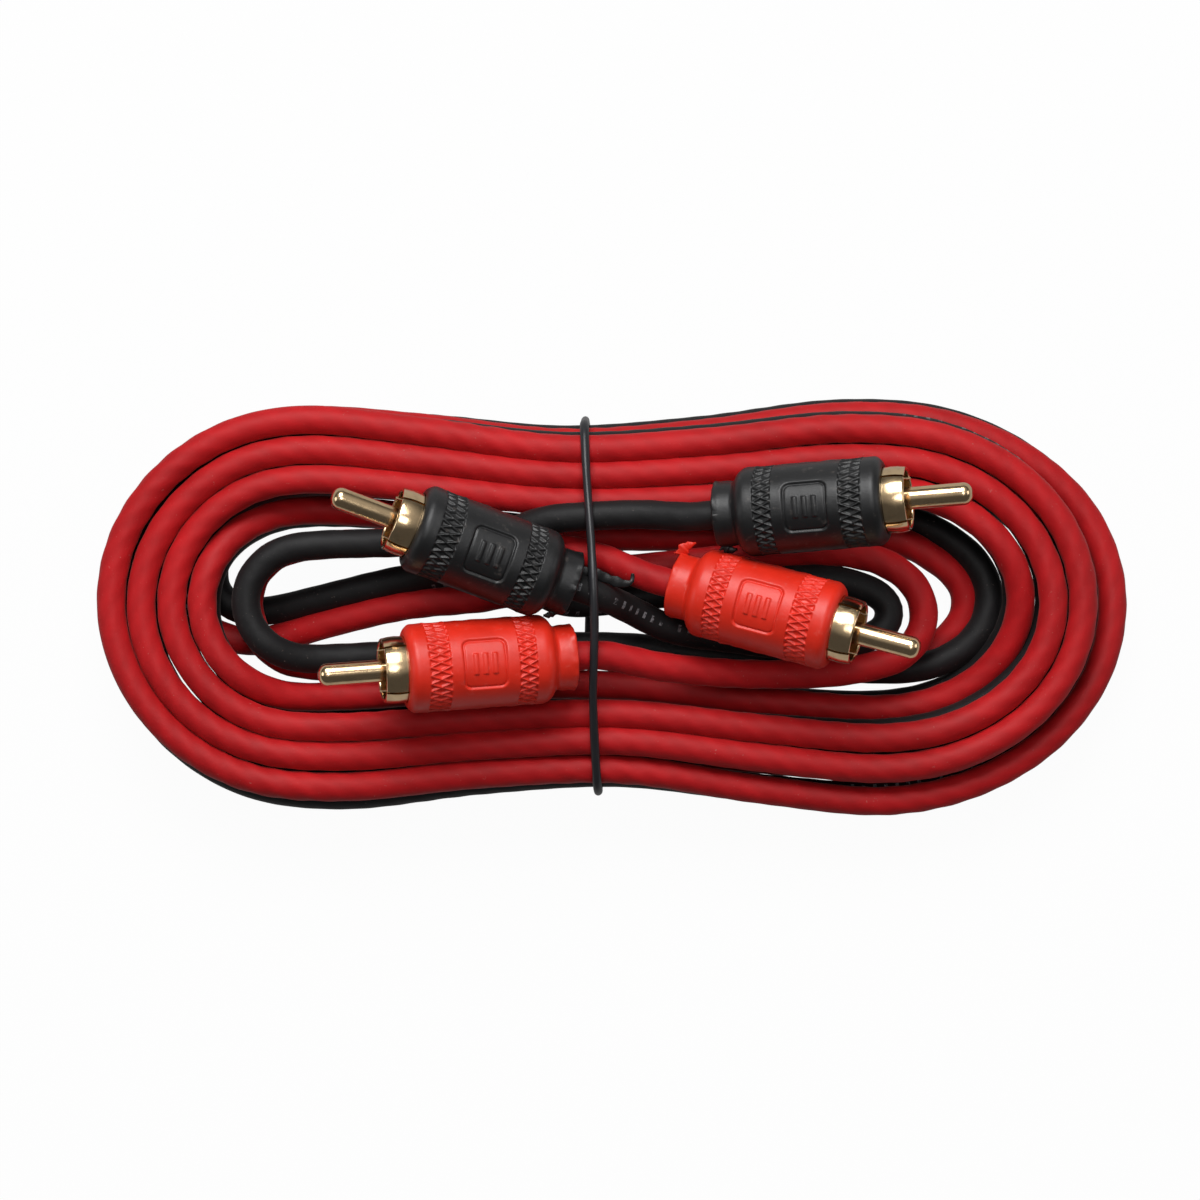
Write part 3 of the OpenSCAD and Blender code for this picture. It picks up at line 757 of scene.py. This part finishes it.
class LEAD_OT_bodies(bpy.types.Operator):
    """Mould the four plug bodies and the flash left on them"""

    bl_idname = "lead.bodies"
    bl_label = "Plug bodies"

    def execute(self, context):
        settings = context.scene.lead_plug
        radius, neck = settings.body_diameter / MM / 2, settings.neck_diameter / MM / 2
        finishes = {
            "red": moulding_finish("red_moulding", tuple(settings.red), 0.12, 0.22),
            "black": moulding_finish("black_moulding", tuple(settings.black), 0.15, 0.5),
        }
        for seed, name in enumerate(PLUGS):
            colour = name.split("_")[0]
            relief = body_relief(seed + 3, settings.hatch_depth / MM, radius)
            mesh = turned(plug_axes(name), body_profile(radius, neck), 384, relief)
            add_piece(f"{name}_body_skin", *mesh, finishes[colour], f"{colour}_moulding", [f"{name}_body"])
        # Points, half widths and thickness of each strip of flash
        scraps = {
            "black_left": [
                (
                    [
                        (-6.1, 5.0, 23.7), (-3.3, 4.6, 23.3), (-0.6, 3.6, 22.8),
                        (1.4, 3.1, 22.4), (2.3, 3.4, 22.3), (2.5, 4.5, 22.4),
                    ],
                    (0.75, 0.8, 0.7, 0.75, 0.5, 0.2), 0.35,
                ),
                ([(-8.5, -0.7, 22.9), (-9.3, -1.3, 22.8), (-10.1, -1.4, 22.7)], (0.6, 0.5, 0.15), 0.5),
            ],
            "red_right": [
                (
                    [(9.3, 7.1, 20.6), (9.6, 7.9, 21.0), (10.4, 8.5, 21.2), (11.4, 8.8, 21.1)],
                    (0.9, 0.85, 0.5, 0.12), 0.4,
                ),
            ],
            "black_right": [
                ([(15.1, 8.5, 22.0), (16.1, 7.9, 21.8), (17.2, 7.9, 21.6)], (0.7, 0.6, 0.15), 0.5),
            ],
        }
        for name, strips in scraps.items():
            colour = name.split("_")[0]
            mesh = join([ribbon(*strip, 31 + k) for k, strip in enumerate(strips)])
            add_piece(f"{name}_flash", *mesh, finishes[colour], f"{colour}_moulding")
        return {"FINISHED"}


class LEAD_OT_contacts(bpy.types.Operator):
    """Make the slotted shells, centre pins and insulators"""

    bl_idname = "lead.contacts"
    bl_label = "Contacts"

    def execute(self, context):
        settings = context.scene.lead_plug
        gold = plating_finish("gold_plate", tuple(settings.gold))
        cream = plain_finish("insulator", tuple(settings.insulator), 0.4)
        pin = settings.pin_diameter / MM / 2
        # Angle of half a slot, 0.19 mm on the shell's radius
        gap = 0.19 / 4.65
        pin_profile = np.vstack([
            [(0, 16.2), (pin - 0.3, 16.2), (pin - 0.3, FACE - 0.1)],
            [(pin + 0.25, FACE + 0.1), (pin + 0.25, FACE + 0.4)],
            [(pin, FACE + 0.7)], np.stack([np.full(10, pin), np.linspace(FACE + 1.1, PIN_TIP - 1.5, 10)], -1),
            arc(pin - 1.3, PIN_TIP - 1.3, 1.3, 5, 90, 16), [(0, PIN_TIP)],
        ])
        disc = np.vstack([
            [(pin + 0.02, 19.6), (4.12, 19.6), (4.12, FACE - 0.6)], arc(3.9, FACE - 0.5, 0.22, 0, 80, 4),
            [(3.2, FACE - 0.28), (2.9, FACE - 0.12), (2.1, FACE)],
            [(pin + 0.3, FACE - 0.04), (pin + 0.02, FACE - 0.1)],
        ])
        for name in PLUGS:
            axes = plug_axes(name)
            leaves = [
                shell_sector(axes, quarter * TAU / 4 + TAU / 8 + gap, (quarter + 1) * TAU / 4 + TAU / 8 - gap)
                for quarter in range(4)
            ]
            add_piece(f"{name}_shell_leaves", *join(leaves), gold, "gold_plate", [f"{name}_shell"], sharp=50)
            pin_mesh, disc_mesh = turned(axes, pin_profile, 64), turned(axes, disc, 64)
            add_piece(f"{name}_pin_turned", *pin_mesh, gold, "gold_plate", [f"{name}_pin"], sharp=60)
            add_piece(
                f"{name}_insulator_disc", *disc_mesh, cream, "insulator", [f"{name}_insulator"], sharp=50
            )
        return {"FINISHED"}


class LEAD_OT_tie(bpy.types.Operator):
    """Bend the coated wire tie round the waist and twist its ends"""

    bl_idname = "lead.tie"
    bl_label = "Wire tie"

    def execute(self, context):
        settings = context.scene.lead_tie
        radius = settings.diameter / MM / 2
        waist, knot, foot, rise, reach = HANK["waist_x"], 2.2, 2.21, 4.6, radius + 0.05
        k = np.linspace(0, 1, 25)[:, None]

        def helix(phase):
            a = TAU * 1.5 * k + np.radians(phase)
            return np.hstack([waist + reach * np.cos(a), knot + reach * np.sin(a), foot + rise * k])

        loop = np.array(TIE_LOOP) + (waist, 0, 0)
        loop[:, 0] -= 0.03 * loop[:, 1]
        path = np.vstack([helix(270)[::-1], loop, helix(90)])
        line = even(soften(even(spline(path, 8), 0.2), 2), 0.25)
        s = np.arange(len(line)) * 0.25
        sides = 20
        angle = np.arange(sides) * TAU / sides
        wave = 0.03 * np.cos(2 * angle[None] + s[:, None] / 4) + 0.012 * waves(s, 5, 6)[:, None]
        coat = plain_finish("tie_coat", tuple(settings.coat), 0.3, grain=0.0004)
        wire = plain_finish("tie_wire", tuple(settings.wire), 0.3, metallic=1.0, grain=0.0003)
        cut = slice(6, -6)
        skin = swept(line[cut], (radius + wave)[cut], sides, (1, 0, 0))
        add_piece("tie_coat_skin", *closed_tube(skin), coat, "tie_coat", ["tie_coat"])
        core = swept(line, np.full((len(line), 12), 0.25), 12, (1, 0, 0))
        add_piece("tie_wire_core", *closed_tube(core), wire, "tie_wire", ["tie_wire"])
        return {"FINISHED"}


class LEAD_OT_inner(bpy.types.Operator):
    """Give the parts sealed inside the plugs their finishes"""

    bl_idname = "lead.inner"
    bl_label = "Inner parts"

    def execute(self, context):
        cable = context.scene.lead_cable
        finishes = {
            "mould": plain_finish("inner_mould", linear(214, 212, 206), 0.5),
            "dielectric": plain_finish("dielectric", linear(232, 232, 228), 0.6),
            "conductor": plain_finish("copper", linear(200, 122, 80), 0.3, metallic=1.0),
        }
        finishes["pigtail"] = finishes["conductor"]
        ends = {c: plain_finish(f"{c}_jacket_end", tuple(getattr(cable, c)), 0.5) for c in ("red", "black")}
        for name in PLUGS:
            for part in INNER:
                node = NODES[f"{name}_{part}"]
                finish = ends[name.split("_")[0]] if part == "jacket_end" else finishes[part]
                node.data.materials.clear()
                node.data.materials.append(finish)
        return {"FINISHED"}


class LEAD_OT_declare(bpy.types.Operator):
    """A step that leaves the scene as it is"""

    bl_idname = "lead.declare"
    bl_label = "Cable lengths"

    def execute(self, context):
        return {"FINISHED"}


class LEAD_OT_stage(bpy.types.Operator):
    """Lay the floor, hang the lamps and set the camera above the hank"""

    bl_idname = "lead.stage"
    bl_label = "Stage"

    def execute(self, context):
        scene, settings = context.scene, context.scene.lead_stage
        scene.view_settings.view_transform = "Standard"
        camera = bpy.data.objects.new("camera", bpy.data.cameras.new("camera"))
        scene.collection.objects.link(camera)
        camera.data.lens = 36 * settings.height / (1200 / 7 * MM)
        camera.data.clip_end = 20
        camera.location = (-2.14 * MM, 0.79 * MM, settings.height + 10 * MM)
        scene.camera = camera
        size = 3.0
        corners = [(-size, -size, 0), (size, -size, 0), (size, size, 0), (-size, size, 0)]
        floor_mesh = bpy.data.meshes.new("floor")
        floor_mesh.from_pydata([(x, y, -0.00005) for x, y, _ in corners], [], [(0, 1, 2, 3)])
        floor = bpy.data.objects.new("floor", floor_mesh)
        scene.collection.objects.link(floor)
        floor_mesh.materials.append(self.floor_finish(tuple(settings.floor)))
        for name, place, size, power in (
            ("key", (-0.06, 0.5, 0.56), 0.42, settings.key),
            ("top", (0.05, 0.1, 0.9), 0.3, settings.key * 0.26),
            ("side", (-0.75, 0.05, 0.4), 0.35, settings.key * 0.16),
            ("other_side", (0.75, 0.15, 0.4), 0.35, settings.key * 0.16),
        ):
            lamp = bpy.data.objects.new(name, bpy.data.lights.new(name, "AREA"))
            lamp.data.shape, lamp.data.size, lamp.data.energy = "SQUARE", size, power
            lamp.location = place
            lamp.rotation_euler = (Vector((0, 0, 0.01)) - Vector(place)).to_track_quat("-Z", "Y").to_euler()
            scene.collection.objects.link(lamp)
        self.room_light(scene, settings.fill)
        return {"FINISHED"}

    def seen(self, tree):
        """Two signals: 1 for rays from the camera, and 1 for rays off gloss or through glass."""
        path = tree.nodes.new("ShaderNodeLightPath")
        camera, gloss, through = (
            Signal(tree, path.outputs[k]) for k in ("Is Camera Ray", "Is Glossy Ray", "Is Transmission Ray")
        )
        return camera, (gloss + through).math("MINIMUM", 1)

    def floor_finish(self, colour):
        material = bpy.data.materials.new("floor")
        material.use_nodes = True
        tree = material.node_tree
        tree.nodes.clear()
        diffuse, glow = tree.nodes.new("ShaderNodeBsdfDiffuse"), tree.nodes.new("ShaderNodeEmission")
        diffuse.inputs["Color"].default_value = (*colour, 1)
        blend, output = tree.nodes.new("ShaderNodeMixShader"), tree.nodes.new("ShaderNodeOutputMaterial")
        camera, other = self.seen(tree)
        glow.inputs["Strength"].default_value = 1.07
        share = camera * 0.9 + other * 0.25
        tree.links.new(share.socket, blend.inputs[0])
        tree.links.new(diffuse.outputs[0], blend.inputs[1])
        tree.links.new(glow.outputs[0], blend.inputs[2])
        tree.links.new(blend.outputs[0], output.inputs["Surface"])
        return material

    def room_light(self, scene, strength):
        world = bpy.data.worlds.new("room")
        scene.world = world
        world.use_nodes = True
        tree = world.node_tree
        tree.nodes.clear()
        room, output = tree.nodes.new("ShaderNodeBackground"), tree.nodes.new("ShaderNodeOutputWorld")
        camera, other = self.seen(tree)
        place, split = tree.nodes.new("ShaderNodeTexCoord"), tree.nodes.new("ShaderNodeSeparateXYZ")
        tree.links.new(place.outputs["Generated"], split.inputs[0])
        towards_key = Signal(tree, split.outputs["Y"]) * 0.5 + Signal(tree, split.outputs["Z"]) * 0.87
        canopy = towards_key.above(0.6, 0.99) * 0.5 + 0.1
        level = camera * (1 - strength) + other * (canopy - strength) + strength
        tree.links.new(level.socket, room.inputs["Strength"])
        tree.links.new(room.outputs[0], output.inputs["Surface"])


class LEAD_PT_panel(bpy.types.Panel):
    """Lists the pieces of the lead and their settings"""

    bl_idname = "LEAD_PT_panel"
    bl_label = "Twin lead"
    bl_space_type = "VIEW_3D"
    bl_region_type = "UI"
    bl_category = "Lead"

    def draw(self, context):
        for group in ("lead_cable", "lead_plug", "lead_tie", "lead_stage"):
            settings = getattr(context.scene, group)
            box = self.layout.box()
            for prop in settings.bl_rna.properties:
                if prop.identifier not in ("rna_type", "name"):
                    box.prop(settings, prop.identifier)
        for step in STEPS:
            self.layout.operator(step.bl_idname)


GROUPS = {
    "lead_cable": LeadCableSettings, "lead_plug": LeadPlugSettings,
    "lead_tie": LeadTieSettings, "lead_stage": LeadStageSettings,
}
STEPS = (
    LEAD_OT_stage, LEAD_OT_cables, LEAD_OT_bodies, LEAD_OT_contacts, LEAD_OT_tie, LEAD_OT_inner,
    LEAD_OT_declare,
)


def register():
    for group, kind in GROUPS.items():
        bpy.utils.register_class(kind)
        setattr(bpy.types.Scene, group, bpy.props.PointerProperty(type=kind))
    for kind in (*STEPS, LEAD_PT_panel):
        bpy.utils.register_class(kind)


def unregister():
    for kind in (LEAD_PT_panel, *reversed(STEPS)):
        bpy.utils.unregister_class(kind)
    for group, kind in GROUPS.items():
        delattr(bpy.types.Scene, group)
        bpy.utils.unregister_class(kind)


def main():
    register()
    for step in STEPS:
        family, action = step.bl_idname.split(".")
        getattr(getattr(bpy.ops, family), action)()


if __name__ == "__main__":
    main()
